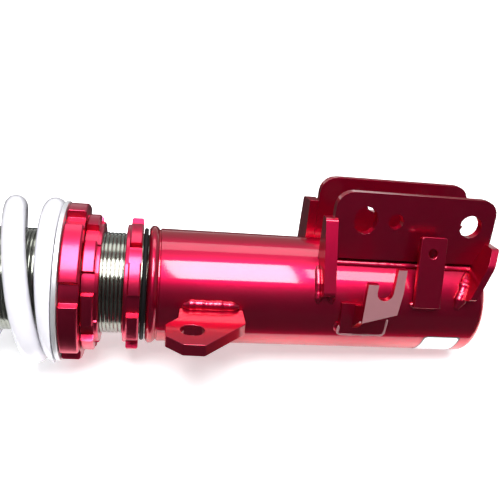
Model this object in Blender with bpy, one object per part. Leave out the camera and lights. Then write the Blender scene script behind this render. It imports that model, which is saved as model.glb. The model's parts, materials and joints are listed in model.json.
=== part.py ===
"""MacPherson-strut coilover: threaded damper body in a welded knuckle bracket.

The strut is modelled upright in its own frame and then laid down by one empty:
  strut frame  +Z up the strut from the lower end face, +X towards the knuckle
               ears, Y across the ears (front ear at -Y, rear ear at +Y)
  world frame  +Z up, the strut lying along X on the level plane that touches
               its lower end and the edge of its top plate
Each function below makes one piece. Lengths are in metres.
"""
import bpy
import bmesh
from math import acos, asin, atan2, cos, pi, radians, sin, sqrt, tan
from mathutils import Matrix, Vector

MM = 0.001
GAP = 0.3 * MM                  # clearance between neighbouring pieces

# ---- driving dimensions -------------------------------------------------
THREAD_R = 26.5 * MM            # M53 x 2 thread on the damper body
BODY_BORE_R = 23.0 * MM
TUBE_R = 30.0 * MM              # bracket tube
BRACKET_H = 179.4 * MM          # height of the tube's mouth
END_ROUND = 5.0 * MM
BODY_BOTTOM_H = 30.0 * MM
BODY_TOP_H = 290.0 * MM
WIPER_TOP_H = 297.4 * MM
ROD_R = 11.0 * MM
STRUT_TRAVEL = 72.0 * MM        # droop to bump-stop contact
LOWER_RING_R = 34.7 * MM        # lock rings over their teeth
UPPER_RING_R = 35.5 * MM
PERCH_R = 40.7 * MM
SPRING_WIRE_R = 5.5 * MM
SPRING_MEAN_R = 37.4 * MM
SPRING_BOTTOM_H = 223.0 * MM
SPRING_LENGTH = 195.0 * MM
SPRING_TURNS = 7.0
EAR_FACE_Y = 19.15 * MM         # outer face of each knuckle ear
EAR_THICK = 4.5 * MM
EAR_TOP_X = 62.0 * MM
BOLT_X = 47.5 * MM              # knuckle bolts' distance from the strut axis
BOLT_R = 6.1 * MM
UPPER_BOLT_H = 71.2 * MM
LOWER_BOLT_H = 13.7 * MM
SMALL_HOLE_H = 55.0 * MM
PLATE_HALF = 62.0 * MM          # top plate, centre to edge
PLATE_H = 455.0 * MM            # underside of the top plate
PLATE_THICK = 6.0 * MM
BALL_H = 452.0 * MM             # centre of the pillow ball
BALL_R = 14.0 * MM
STUD_RADIUS = 51.0 * MM
CLAMP_X = 42.0 * MM             # clamp bolts' places on the top mount
CLAMP_Y = 14.0 * MM
SLIDE = 6.0 * MM                # camber travel each way, along the mount's X
LIE_ROLL = radians(18.15)       # ears lean back by this much when the strut lies down
SEG = 32                        # facets round a full-size turned piece
FINE = 20                       # facets round a piece of middle size
SMALL = 10                      # facets round a small piece


def lie_pitch():
    """Pitch at which the tube's rounded end and the top plate's edge touch one plane."""
    run = PLATE_H - END_ROUND
    drop = PLATE_HALF - (TUBE_R - END_ROUND)
    reach = sqrt(run * run + drop * drop)
    return asin(-END_ROUND / reach) + atan2(drop, run)


# ---- scene, materials ---------------------------------------------------
def clear_scene():
    for obj in list(bpy.data.objects):
        bpy.data.objects.remove(obj, do_unlink=True)


def material(name, color, roughness, metallic):
    mat = bpy.data.materials.new(name)
    mat.use_nodes = True
    shader = mat.node_tree.nodes["Principled BSDF"]
    shader.inputs["Base Color"].default_value = (*color, 1.0)
    shader.inputs["Roughness"].default_value = roughness
    shader.inputs["Metallic"].default_value = metallic
    mat.diffuse_color = (*color, 1.0)
    return mat


def make_materials():
    return {
        "paint": material("candy_paint", (0.45, 0.01, 0.06), 0.25, 0.6),
        "anodised": material("red_anodised", (0.75, 0.02, 0.10), 0.3, 0.9),
        "spring": material("white_powder_coat", (0.88, 0.88, 0.90), 0.2, 0.0),
        "nickel": material("nickel_plate", (0.62, 0.64, 0.60), 0.25, 1.0),
        "steel": material("bright_steel", (0.66, 0.67, 0.69), 0.3, 1.0),
        "chrome": material("hard_chrome", (0.80, 0.81, 0.83), 0.08, 1.0),
        "alloy": material("machined_alloy", (0.76, 0.77, 0.79), 0.35, 1.0),
        "black": material("black_zinc", (0.04, 0.04, 0.045), 0.4, 0.7),
        "rubber": material("black_rubber", (0.02, 0.02, 0.02), 0.6, 0.0),
        "foam": material("bump_foam", (0.72, 0.60, 0.24), 0.8, 0.0),
        "ptfe": material("ptfe_liner", (0.30, 0.22, 0.14), 0.5, 0.0),
    }


# ---- mesh helpers -------------------------------------------------------
def finish(name, bm, mat, parent, smooth_angle=35.0):
    bmesh.ops.recalc_face_normals(bm, faces=bm.faces[:])
    mesh = bpy.data.meshes.new(name)
    bm.to_mesh(mesh)
    bm.free()
    mesh.materials.append(mat)
    mesh.shade_smooth()
    mesh.set_sharp_from_angle(angle=radians(smooth_angle))
    obj = bpy.data.objects.new(name, mesh)
    bpy.context.collection.objects.link(obj)
    obj.parent = parent
    return obj


def sweep_rings(bm, rings, closed_path):
    """Skin a list of vertex loops; a loop of one vertex is a pole."""
    count = len(rings)
    last = count if closed_path else count - 1
    for i in range(last):
        low, high = rings[i], rings[(i + 1) % count]
        if len(low) == 1 and len(high) == 1:
            continue
        around = max(len(low), len(high))
        for k in range(around):
            n = (k + 1) % around
            if len(low) == 1:
                bm.faces.new((low[0], high[n], high[k]))
            elif len(high) == 1:
                bm.faces.new((low[k], low[n], high[0]))
            else:
                bm.faces.new((low[k], low[n], high[n], high[k]))


def turned(name, profile, mat, parent, segments=SEG):
    """Turn a closed outline of (radius, height) points about Z."""
    bm = bmesh.new()
    rings = []
    for radius, height in profile:
        if radius <= 0.0:
            rings.append([bm.verts.new((0.0, 0.0, height))])
            continue
        angles = [2 * pi * k / segments for k in range(segments)]
        rings.append([bm.verts.new((radius * cos(a), radius * sin(a), height)) for a in angles])
    sweep_rings(bm, rings, closed_path=True)
    return finish(name, bm, mat, parent)


def castellated(name, profile, mat, parent, notches, notch_arc, first_notch):
    """Turned ring whose outline has (tooth radius, notch radius, height) points.

    The notch walls stand at the ends of notch_arc round each notch's centre.
    """
    lean = radians(1.2)
    half = notch_arc / 2
    pitch = 2 * pi / notches
    tooth = pitch - notch_arc
    tooth_steps = round(tooth / radians(14))
    stations = []
    for k in range(notches):
        centre = first_notch + k * pitch
        for share in (-1.0, 0.0, 1.0):
            stations.append((centre + share * (half - lean), True))
        for step in range(tooth_steps + 1):
            stations.append((centre + half + tooth * step / tooth_steps, False))
    bm = bmesh.new()
    rings = []
    for tooth_r, notch_r, height in profile:
        ring = []
        for angle, in_notch in stations:
            radius = notch_r if in_notch else tooth_r
            ring.append(bm.verts.new((radius * cos(angle), radius * sin(angle), height)))
        rings.append(ring)
    sweep_rings(bm, rings, closed_path=True)
    return finish(name, bm, mat, parent)


def arc(cx, cy, radius, start, end, steps):
    return [(cx + radius * cos(start + (end - start) * i / steps),
             cy + radius * sin(start + (end - start) * i / steps)) for i in range(steps + 1)]


def rounded(points, radii, steps=5):
    """Outline with each corner rounded by its own radius."""
    out = []
    count = len(points)
    for i in range(count):
        here = Vector(points[i])
        if radii[i] <= 0.0:
            out.append(tuple(here))
            continue
        back = (Vector(points[i - 1]) - here).normalized()
        ahead = (Vector(points[(i + 1) % count]) - here).normalized()
        half = acos(max(-1.0, min(1.0, back.dot(ahead)))) / 2
        reach = radii[i] / tan(half)
        start = here + back * reach
        end = here + ahead * reach
        centre = here + (back + ahead).normalized() * (radii[i] / sin(half))
        a0 = atan2(start.y - centre.y, start.x - centre.x)
        a1 = atan2(end.y - centre.y, end.x - centre.x)
        turn = (a1 - a0 + pi) % (2 * pi) - pi
        out.extend(arc(centre.x, centre.y, radii[i], a0, a0 + turn, steps))
    return out


def prism_bm(outline, low, high, place):
    """Extruded outline; place(u, v, w) maps plate coordinates to the strut frame."""
    bm = bmesh.new()
    bottom = [bm.verts.new(place(u, v, low)) for u, v in outline]
    top = [bm.verts.new(place(u, v, high)) for u, v in outline]
    bm.faces.new(bottom)
    bm.faces.new(list(reversed(top)))
    count = len(outline)
    for k in range(count):
        n = (k + 1) % count
        bm.faces.new((bottom[k], bottom[n], top[n], top[k]))
    return bm


def prism(name, outline, low, high, place, mat, parent):
    return finish(name, prism_bm(outline, low, high, place), mat, parent)


def boolean(target, other, operation):
    """Cut or join a hidden tool object into target with an exact Boolean modifier."""
    other.hide_render = True
    other.display_type = 'WIRE'
    mod = target.modifiers.new(operation.lower(), 'BOOLEAN')
    mod.operation = operation
    mod.solver = 'EXACT'
    mod.object = other


def hidden(name, outline, low, high, place, mat, parent):
    return prism("tool_" + name, outline, low, high, place, mat, parent)


def circle(cx, cy, radius, steps):
    return arc(cx, cy, radius, 0.0, 2 * pi, steps)[:-1]


def slot(cx, cy, radius, reach, steps=6):
    """Slot along v: two half circles of radius, reach apart."""
    upper = arc(cx, cy + reach / 2, radius, 0.0, pi, steps)
    lower = arc(cx, cy - reach / 2, radius, pi, 2 * pi, steps)
    return upper + lower


def tube_profile(inner, outer, low, high):
    return [(outer, low), (outer, high), (inner, high), (inner, low)]


# ---- bracket weldment ---------------------------------------------------
def bracket_tube(mats, strut):
    corner = TUBE_R - END_ROUND
    bore = THREAD_R + 0.4 * MM
    bead_low = 174.4 * MM
    profile = [(20 * MM, 0.0)]
    profile += arc(corner, END_ROUND, END_ROUND, -pi / 2, 0.0, 4)
    profile += [
        (TUBE_R, bead_low - 1.2 * MM),
        (TUBE_R - 0.5 * MM, bead_low - 0.9 * MM),
        (TUBE_R - 0.5 * MM, bead_low),
        (TUBE_R + 0.9 * MM, bead_low + 0.8 * MM),
        (TUBE_R + 1.3 * MM, bead_low + 2.5 * MM),
        (TUBE_R + 0.9 * MM, BRACKET_H - 0.6 * MM),
        (TUBE_R + 0.2 * MM, BRACKET_H),
        (bore, BRACKET_H),
        (bore, 7 * MM),
        (20 * MM, 7 * MM),
    ]
    return turned("bracket_tube", profile, mats["paint"], strut)


def bracket_end_cap(mats, strut):
    profile = [(0.0, 0.0), (19.7 * MM, 0.0), (19.7 * MM, 7.3 * MM), (24 * MM, 7.3 * MM),
               (24 * MM, 9.3 * MM), (0.0, 9.3 * MM)]
    return turned("bracket_end_cap", profile, mats["paint"], strut)


def tube_edge(y_start, y_end, steps):
    """Points (y, x) along the bracket tube's surface, a gap away from it."""
    radius = TUBE_R + 0.5 * MM
    a0 = asin(y_start / radius)
    a1 = asin(y_end / radius)
    return [(radius * sin(a0 + (a1 - a0) * i / steps),
             radius * cos(a0 + (a1 - a0) * i / steps)) for i in range(steps + 1)]


def knuckle_ear(name, side, upper_wing, mats, strut):
    """Pressed ear plate with a wing at each end that wraps the tube.

    side is -1 for the front ear and +1 for the rear one.
    """
    paint = mats["paint"]
    inner = EAR_FACE_Y - EAR_THICK
    root = inner + 0.5 * MM                      # the wings start inside the ear's thickness
    foot = 26.8 * MM
    wing_top = 48 * MM
    wing_h = 92.5 * MM
    side_h = 87.6 * MM
    lower_x = 39.6 * MM
    lean = 0.42                                  # how far the lower wing slants per mm of height
    outline = [(foot, side_h), (EAR_TOP_X, side_h), (EAR_TOP_X, 0.6 * MM),
               (lower_x, 0.8 * MM), (foot, 0.8 * MM + lean * (lower_x - foot))]
    outline = rounded(outline, [0.0, 9 * MM, 8 * MM, 6 * MM, 0.0])
    ear = prism(name, outline, inner, EAR_FACE_Y, lambda u, v, w: (u, side * w, v), paint, strut)

    def upper(u, v, w):
        return (v, side * u, w)

    contact = tube_edge(29.2 * MM, root, 5)
    wing = [(root, wing_top), upper_wing[0], upper_wing[1]] + contact
    wing = rounded(wing, [0.0, 2.5 * MM, 2.5 * MM] + [0.0] * len(contact), 3)
    wing_obj = hidden(name + "_upper", wing, side_h - 1.5 * MM, wing_h, upper, paint, strut)
    boolean(ear, wing_obj, 'UNION')

    def lower(u, v, w):
        return (v, side * u, w + lean * (lower_x - v))

    contact = tube_edge(28.6 * MM, root, 5)
    wing = [(root, lower_x - 1 * MM), (27 * MM, lower_x - 1 * MM), (33 * MM, 30 * MM),
            (35.5 * MM, 12 * MM)]
    wing = rounded(wing + contact, [0.0, 3 * MM, 8 * MM, 2.5 * MM] + [0.0] * len(contact), 3)
    wing_obj = hidden(name + "_lower", wing, -1.0 * MM, 3.0 * MM, lower, paint, strut)
    boolean(ear, wing_obj, 'UNION')

    def across(u, v, w):
        return (u, side * w, v)

    holes = (
        ("camber_slot", rotated_slot(BOLT_X, UPPER_BOLT_H, BOLT_R, 2.4 * MM)),
        ("lower_bolt_hole", circle(BOLT_X, LOWER_BOLT_H, BOLT_R, 16)),
        ("line_clip_hole", circle(BOLT_X + 0.3 * MM, SMALL_HOLE_H, 4.1 * MM, 12)),
    )
    for label, hole in holes:
        tool = hidden(f"{name}_{label}", hole, inner - 2 * MM, EAR_FACE_Y + 2 * MM, across, paint, strut)
        boolean(ear, tool, 'DIFFERENCE')
    return ear


def rotated_slot(cx, cy, radius, reach):
    """Slot along u (across the strut), for camber adjustment."""
    return [(cx + (v - cy), cy - (u - cx)) for u, v in slot(cx, cy, radius, reach)]


def radial_frame(azimuth):
    out = Vector((cos(azimuth), sin(azimuth), 0.0))
    across = Vector((-sin(azimuth), cos(azimuth), 0.0))
    return out, across


def link_tab(mats, strut):
    """Thick radial tab that takes the anti-roll-bar drop link."""
    out, across = radial_frame(radians(-95.15))
    thick = 6 * MM
    root = TUBE_R + 0.6 * MM
    outline = [(root, 131.5 * MM), (44 * MM, 131.5 * MM), (63.8 * MM, 152 * MM),
               (63.4 * MM, 162 * MM), (56.5 * MM, 170 * MM), (46.5 * MM, 170 * MM),
               (40 * MM, 164 * MM), (root, 163 * MM)]
    outline = rounded(outline, [0, 3 * MM, 1.5 * MM, 1.5 * MM, 1.5 * MM, 1.5 * MM, 2 * MM, 0], 3)

    def place(u, v, w):
        return out * u + across * w + Vector((0, 0, v))

    tab = prism("drop_link_tab", outline, -thick / 2, thick / 2, place, mats["paint"], strut)
    hole = hidden("drop_link_hole", slot(51 * MM, 157.5 * MM, 4.8 * MM, 2.0 * MM), -thick, thick,
                  place, mats["paint"], strut)
    boolean(tab, hole, 'DIFFERENCE')
    return tab


def hose_bracket(mats, strut):
    """Brake-hose bracket: a foot on the tube, a web, and a C-shaped clip plate."""
    paint = mats["paint"]
    foot_in = TUBE_R + 0.4 * MM
    foot_out = TUBE_R + 2.6 * MM
    low_h, high_h = 56 * MM, 81 * MM
    start, end = radians(-110), radians(-78)
    ring = arc(0, 0, foot_out, start, end, 6) + list(reversed(arc(0, 0, foot_in, start, end, 6)))
    bracket = prism("brake_hose_bracket", ring, low_h, high_h, lambda u, v, w: (u, v, w), paint, strut)

    out, across = radial_frame(radians(-94.15))
    plate_r = 42 * MM
    plate_thick = 3 * MM

    def on_plate(u, v, w):
        return out * w + across * u + Vector((0, 0, v))

    notch_u, notch_v, notch_r = 22.2 * MM, 65.3 * MM, 4.1 * MM
    left_v, right_v = notch_v + notch_r, notch_v - notch_r
    outline = [(5.3 * MM, 74.2 * MM), (26.5 * MM, 74.6 * MM), (26.5 * MM, left_v)]
    outline += [(notch_u + notch_r * sin(a), notch_v + notch_r * cos(a))
                for a in [-pi * i / 8 for i in range(9)]]
    outline += [(34.9 * MM, right_v), (34.9 * MM, 56.8 * MM), (22.5 * MM, 56.2 * MM), (10.6 * MM, 57 * MM)]
    plate = hidden("hose_clip_plate", outline, plate_r, plate_r + plate_thick, on_plate, paint, strut)
    boolean(bracket, plate, 'UNION')

    def web_place(u, v, w):
        return out * u + across * v + Vector((0, 0, w))

    web = [(foot_in + 0.8 * MM, -5 * MM), (foot_in + 0.2 * MM, 8 * MM),
           (plate_r + 1.5 * MM, 14 * MM), (plate_r + 1.5 * MM, 6.2 * MM)]
    web_obj = hidden("hose_web", web, 71 * MM, 74 * MM, web_place, paint, strut)
    boolean(bracket, web_obj, 'UNION')
    return bracket


def sensor_bracket(mats, strut):
    """Leaning strip with a hole for the wheel-speed sensor's wire clip."""
    thick = 3 * MM
    foot = Vector((6.5 * MM, -33.6 * MM))
    head = Vector((43 * MM, -27.0 * MM))
    run = (head - foot).normalized()
    normal = Vector((run.y, -run.x))
    length = (head - foot).length

    def place(u, v, w):
        point = foot + run * u - normal * w
        return (point.x, point.y, v)

    outline = rounded([(0, 28.8 * MM), (length, 28.8 * MM), (length, 43 * MM), (0, 43 * MM)],
                      [0.0, 1.5 * MM, 1.5 * MM, 0.0], 3)
    strip = prism("sensor_wire_bracket", outline, 0.0, thick, place, mats["paint"], strut)
    hole = hidden("sensor_hole", circle(length - 8.5 * MM, 36 * MM, 2.5 * MM, 12), -thick, 2 * thick,
                  place, mats["paint"], strut)
    boolean(strip, hole, 'DIFFERENCE')
    return strip


# ---- threaded rings -----------------------------------------------------
def lock_ring(name, tooth, low, lip_above, first_notch, mats, strut):
    """Castellated lock ring: toothed band with a thin plain lip on one side."""
    band, lip = 6.2 * MM, 1.9 * MM
    bore = THREAD_R + 0.35 * MM
    notch = tooth - 3.4 * MM
    chamfer = 0.5 * MM
    lip_r = 31.0 * MM
    if lip_above:
        profile = [
            (bore, bore, low), (tooth - chamfer, notch, low), (tooth, notch, low + chamfer),
            (tooth, notch, low + band - chamfer), (tooth - chamfer, notch, low + band),
            (lip_r, notch - 0.1 * MM, low + band), (lip_r - 0.4 * MM, notch - 0.5 * MM, low + band + lip),
            (bore, bore, low + band + lip),
        ]
    else:
        profile = [
            (bore, bore, low), (lip_r - 0.4 * MM, notch - 0.5 * MM, low),
            (lip_r, notch - 0.1 * MM, low + lip),
            (tooth - chamfer, notch, low + lip), (tooth, notch, low + lip + chamfer),
            (tooth, notch, low + lip + band - chamfer), (tooth - chamfer, notch, low + lip + band),
            (bore, bore, low + lip + band),
        ]
    return castellated(name, profile, mats["anodised"], strut, 8, radians(19), first_notch)


def perch_collar(mats, strut):
    low, high = 210.8 * MM, 220.2 * MM
    bore = THREAD_R + 0.35 * MM
    tooth, notch, chamfer = PERCH_R, PERCH_R - 3.8 * MM, 0.6 * MM
    seat_r = 30.2 * MM
    profile = [
        (bore, bore, low), (tooth - chamfer, notch, low), (tooth, notch, low + chamfer),
        (tooth, notch, high - chamfer), (tooth - chamfer, notch, high),
        (seat_r, seat_r, high), (seat_r - 0.4 * MM, seat_r - 0.4 * MM, high + 3.6 * MM),
        (bore, bore, high + 3.6 * MM),
    ]
    return castellated("spring_perch_collar", profile, mats["anodised"], strut, 6, radians(17),
                       radians(-78.15))


GROUND_TURNS = 0.25                         # from each tip: the part ground to a taper
TIP_H, GROUND_H = -1.5 * MM, 3.0 * MM       # wire centre at the tip and where the taper ends
CLOSED, OPENED = 1.02, 1.12                 # turns from each end: closed coil, then the full pitch
CLOSED_PITCH = 9.4 * MM


def spring_height(turn):
    """Height of the wire's centre over the lower seat after that many turns."""
    if turn > SPRING_TURNS / 2:
        return SPRING_LENGTH - spring_height(SPRING_TURNS - turn)
    if turn < GROUND_TURNS:
        return TIP_H + (GROUND_H - TIP_H) * turn / GROUND_TURNS
    blend = OPENED - CLOSED
    closed = GROUND_H + CLOSED_PITCH * (CLOSED + blend / 2 - GROUND_TURNS)
    pitch = (SPRING_LENGTH / 2 - closed) / (SPRING_TURNS / 2 - CLOSED - blend / 2)
    into = min(max(turn - CLOSED, 0.0), blend)
    height = GROUND_H + CLOSED_PITCH * (min(turn, CLOSED) - GROUND_TURNS + into)
    height += (pitch - CLOSED_PITCH) * into * into / (2 * blend)
    return height + pitch * max(0.0, turn - OPENED)


def coil_spring(mats, strut):
    """Right-hand spring with closed ends, ground flat where they sit."""
    around = 6
    steps = int(SPRING_TURNS * 16)
    start = radians(-150.15)
    nudge = 0.004
    lowest = SPRING_BOTTOM_H + 0.05 * MM
    highest = SPRING_BOTTOM_H + SPRING_LENGTH - 0.05 * MM

    def centre(turn):
        angle = start + 2 * pi * turn
        height = SPRING_BOTTOM_H + spring_height(turn)
        return Vector((SPRING_MEAN_R * cos(angle), SPRING_MEAN_R * sin(angle), height))

    bm = bmesh.new()
    rings = []
    for i in range(steps + 1):
        turn = SPRING_TURNS * i / steps
        here = centre(turn)
        tangent = (centre(min(SPRING_TURNS, turn + nudge)) - centre(max(0.0, turn - nudge))).normalized()
        radial = Vector((here.x, here.y, 0.0)).normalized()
        rise = tangent.cross(radial).normalized()
        ring = []
        for k in range(around):
            a = 2 * pi * k / around
            point = here + (radial * cos(a) + rise * sin(a)) * SPRING_WIRE_R
            point.z = min(max(point.z, lowest), highest)
            ring.append(bm.verts.new(point))
        rings.append(ring)
    sweep_rings(bm, rings, closed_path=False)
    bm.faces.new(rings[0])
    bm.faces.new(list(reversed(rings[-1])))
    return finish("coil_spring", bm, mats["spring"], strut)


# ---- damper -------------------------------------------------------------
def damper_pieces(mats, strut):
    steel, rubber = mats["steel"], mats["rubber"]
    bore = BODY_BORE_R
    turned("damper_body", tube_profile(bore, THREAD_R, BODY_BOTTOM_H, BODY_TOP_H), mats["nickel"], strut)
    fit = bore - GAP
    plug = [(0, 31.5 * MM), (fit, 31.5 * MM), (fit, 41 * MM), (4.6 * MM, 41 * MM),
            (4.6 * MM, 35 * MM), (0, 35 * MM)]
    turned("base_plug", plug, steel, strut)
    valve = [(0, 35.4 * MM), (4.2 * MM, 35.4 * MM), (4.2 * MM, 41 * MM), (6 * MM, 41.4 * MM),
             (6 * MM, 44 * MM), (0, 44 * MM)]
    turned("gas_valve_screw", valve, steel, strut, SMALL)
    groove = fit - 2.6 * MM
    piston = [(0, 85 * MM), (fit, 85 * MM), (fit, 88.5 * MM), (groove, 88.5 * MM),
              (groove, 92 * MM), (fit, 92 * MM), (fit, 96 * MM), (15 * MM, 96 * MM),
              (15 * MM, 90 * MM), (0, 90 * MM)]
    turned("floating_piston", piston, mats["alloy"], strut, FINE)
    turned("floating_piston_ring", tube_profile(groove + GAP, fit - 0.1 * MM, 88.8 * MM, 91.7 * MM),
           rubber, strut, FINE)
    guide_low, guide_high = 262 * MM, 277 * MM
    rod_fit = ROD_R + 1.6 * MM
    turned("rod_guide", tube_profile(rod_fit, fit, guide_low, guide_high), mats["alloy"], strut, FINE)
    turned("guide_bush", tube_profile(ROD_R + 0.3 * MM, rod_fit - 0.3 * MM, guide_low, guide_high),
           mats["ptfe"], strut, FINE)
    turned("rod_seal", tube_profile(ROD_R + 0.3 * MM, fit, 277.3 * MM, 282 * MM), rubber, strut, FINE)
    gland = [(17 * MM, 282.3 * MM), (fit, 282.3 * MM), (fit, 290.3 * MM), (THREAD_R, 290.3 * MM),
             (THREAD_R, 294 * MM), (THREAD_R - 1 * MM, 295 * MM), (17 * MM, 295 * MM)]
    turned("gland_nut", gland, mats["anodised"], strut, FINE)
    wiper = [(ROD_R + 0.3 * MM, 283 * MM), (16.6 * MM, 283 * MM), (16.6 * MM, 295.4 * MM),
             (14 * MM, WIPER_TOP_H), (ROD_R + 0.3 * MM, WIPER_TOP_H)]
    turned("rod_wiper", wiper, rubber, strut, FINE)


def rod_pieces(mats, strut):
    steel = mats["steel"]
    spigot_r, thread_r, bore_r = 6.0 * MM, 7.0 * MM, 3.6 * MM
    shoulder_low, shoulder_high = 246 * MM, 414 * MM
    profile = [
        (bore_r, 212 * MM), (spigot_r, 212 * MM), (spigot_r, shoulder_low), (ROD_R, shoulder_low),
        (ROD_R, shoulder_high), (thread_r, shoulder_high), (thread_r, 488 * MM), (bore_r, 488 * MM),
    ]
    turned("piston_rod", profile, mats["chrome"], strut, FINE)
    hole = spigot_r + GAP
    fit = BODY_BORE_R - 1.4 * MM
    groove = fit - 1.4 * MM
    turned("rebound_shims", tube_profile(hole, 17 * MM, 242.6 * MM, 245.7 * MM), steel, strut, FINE)
    piston = [(hole, 226 * MM), (fit, 226 * MM), (fit, 228 * MM), (groove, 228 * MM), (groove, 240 * MM),
              (fit, 240 * MM), (fit, 242.3 * MM), (hole, 242.3 * MM)]
    body = turned("damper_piston", piston, mats["alloy"], strut, FINE)
    for k in range(4):
        a = 2 * pi * (k + 0.37) / 4
        port = hidden(f"piston_port_{k}", circle(13.5 * MM * cos(a), 13.5 * MM * sin(a), 2.4 * MM, 6),
                      224 * MM, 244 * MM, lambda u, v, w: (u, v, w), steel, strut)
        boolean(body, port, 'DIFFERENCE')
    turned("piston_band", tube_profile(groove + GAP, BODY_BORE_R - GAP, 228.3 * MM, 239.7 * MM),
           mats["ptfe"], strut, FINE)
    turned("compression_shims", tube_profile(hole, 17 * MM, 222.4 * MM, 225.7 * MM), steel, strut, FINE)
    hexagon("piston_nut", 11 * MM, hole, 214 * MM, 222.1 * MM, steel, strut)
    needle = [(0, 206 * MM), (2.6 * MM, 216 * MM), (2.6 * MM, 494 * MM), (0, 494 * MM)]
    turned("adjuster_needle", needle, steel, strut, SMALL)


def hexagon(name, across_half, bore_r, low, high, mat, parent):
    """Hexagon nut: across_half is half the width over its flats."""
    corner = across_half / cos(pi / 6)
    bm = bmesh.new()
    spin = 12
    chamfer = (high - low) * 0.12
    rings = []
    outline = ((bore_r, low), (corner, low), (corner, high - chamfer), (corner * 0.93, high),
               (bore_r, high))
    for limit, height in outline:
        ring = []
        for k in range(spin):
            a = 2 * pi * k / spin
            flat = across_half / cos((a + pi / 6) % (pi / 3) - pi / 6)
            r = min(flat, limit)
            ring.append(bm.verts.new((r * cos(a), r * sin(a), height)))
        rings.append(ring)
    sweep_rings(bm, rings, closed_path=True)
    return finish(name, bm, mat, parent, 20.0)


def bump_and_boot(mats, strut):
    bore = ROD_R + 0.6 * MM
    waist, belly = 17.5 * MM, 21.5 * MM
    low, high = WIPER_TOP_H + 0.6 * MM + STRUT_TRAVEL, 411 * MM
    outline = []
    lobes = 3
    steps = 3
    for i in range(lobes * steps + 1):
        share = i / (lobes * steps)
        radius = waist + (belly - waist) * sin(pi * share * lobes) ** 2
        outline.append((radius, low + (high - low) * share))
    profile = [(bore, low)] + outline + [(bore, high)]
    turned("bump_stop", profile, mats["foam"], strut, FINE)
    boot_low, boot_high = 300.5 * MM, 407 * MM
    wall = 1.2 * MM
    folds = 6
    outer, inner = [], []
    for i in range(folds * 2 + 1):
        share = i / (folds * 2)
        radius = (28.2 if i % 2 else 25.0) * MM
        height = boot_low + (boot_high - boot_low) * share
        outer.append((radius, height))
        inner.append((radius - wall, height))
    turned("dust_boot", outer + list(reversed(inner)), mats["rubber"], strut, FINE)


# ---- top mount ----------------------------------------------------------
def seat_and_spacers(mats, strut):
    top_of_spring = SPRING_BOTTOM_H + SPRING_LENGTH
    washer = tube_profile(31.2 * MM, 41.5 * MM, top_of_spring + GAP, top_of_spring + 2.2 * MM)
    turned("upper_spring_washer", washer, mats["steel"], strut, FINE)
    low = top_of_spring + 2.5 * MM
    seat = [
        (7.4 * MM, 414.3 * MM), (12 * MM, 414.3 * MM), (12 * MM, low), (28.6 * MM, low),
        (28.6 * MM, 408 * MM), (30.4 * MM, 408 * MM), (30.8 * MM, low), (43.5 * MM, low),
        (44 * MM, low + 0.6 * MM), (44 * MM, 426 * MM), (42 * MM, 427 * MM), (20 * MM, 427 * MM),
        (13 * MM, 429 * MM), (7.4 * MM, 429 * MM),
    ]
    turned("upper_spring_seat", seat, mats["anodised"], strut, FINE)
    lower = [(7.4 * MM, 429.3 * MM), (12.5 * MM, 429.3 * MM), (12.5 * MM, 432 * MM), (9.4 * MM, 436 * MM),
             (9.4 * MM, BALL_H - 11.3 * MM), (7.4 * MM, BALL_H - 11.3 * MM)]
    turned("lower_ball_spacer", lower, mats["steel"], strut, FINE)
    upper = [(7.4 * MM, BALL_H + 11.3 * MM), (9.4 * MM, BALL_H + 11.3 * MM), (9.4 * MM, 468 * MM),
             (12 * MM, 470 * MM), (12 * MM, 472 * MM), (7.4 * MM, 472 * MM)]
    turned("upper_ball_spacer", upper, mats["steel"], strut, FINE)
    hexagon("rod_top_nut", 10.5 * MM, 7.4 * MM, 472.3 * MM, 483 * MM, mats["black"], strut)


def ball_profile(radius, half_height, bore_r, steps=5):
    top = asin(half_height / radius)
    outer = arc(0.0, BALL_H, radius, -top, top, steps)
    return outer + [(bore_r, BALL_H + half_height), (bore_r, BALL_H - half_height)]


def shell_profile(inner_r, outer_r, half_height, steps=4):
    a_out = asin(half_height / outer_r)
    a_in = asin(half_height / inner_r)
    outer = arc(0.0, BALL_H, outer_r, -a_out, a_out, steps)
    inner = arc(0.0, BALL_H, inner_r, a_in, -a_in, steps)
    return outer + inner


def pillow_ball_pieces(mats, mount):
    turned("pillow_ball", ball_profile(BALL_R, 11 * MM, 7.4 * MM), mats["chrome"], mount, FINE)
    liner_in, liner_out, race_in = BALL_R + 0.5 * MM, BALL_R + 1.6 * MM, BALL_R + 2.1 * MM
    turned("ball_liner", shell_profile(liner_in, liner_out, 7.5 * MM), mats["ptfe"], mount, FINE)
    a_in = asin(7.5 * MM / race_in)
    race = [(19.5 * MM, BALL_H - 7.5 * MM), (19.5 * MM, BALL_H + 7.5 * MM)]
    race += arc(0.0, BALL_H, race_in, a_in, -a_in, 4)
    turned("outer_race", race, mats["steel"], mount, FINE)


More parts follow.
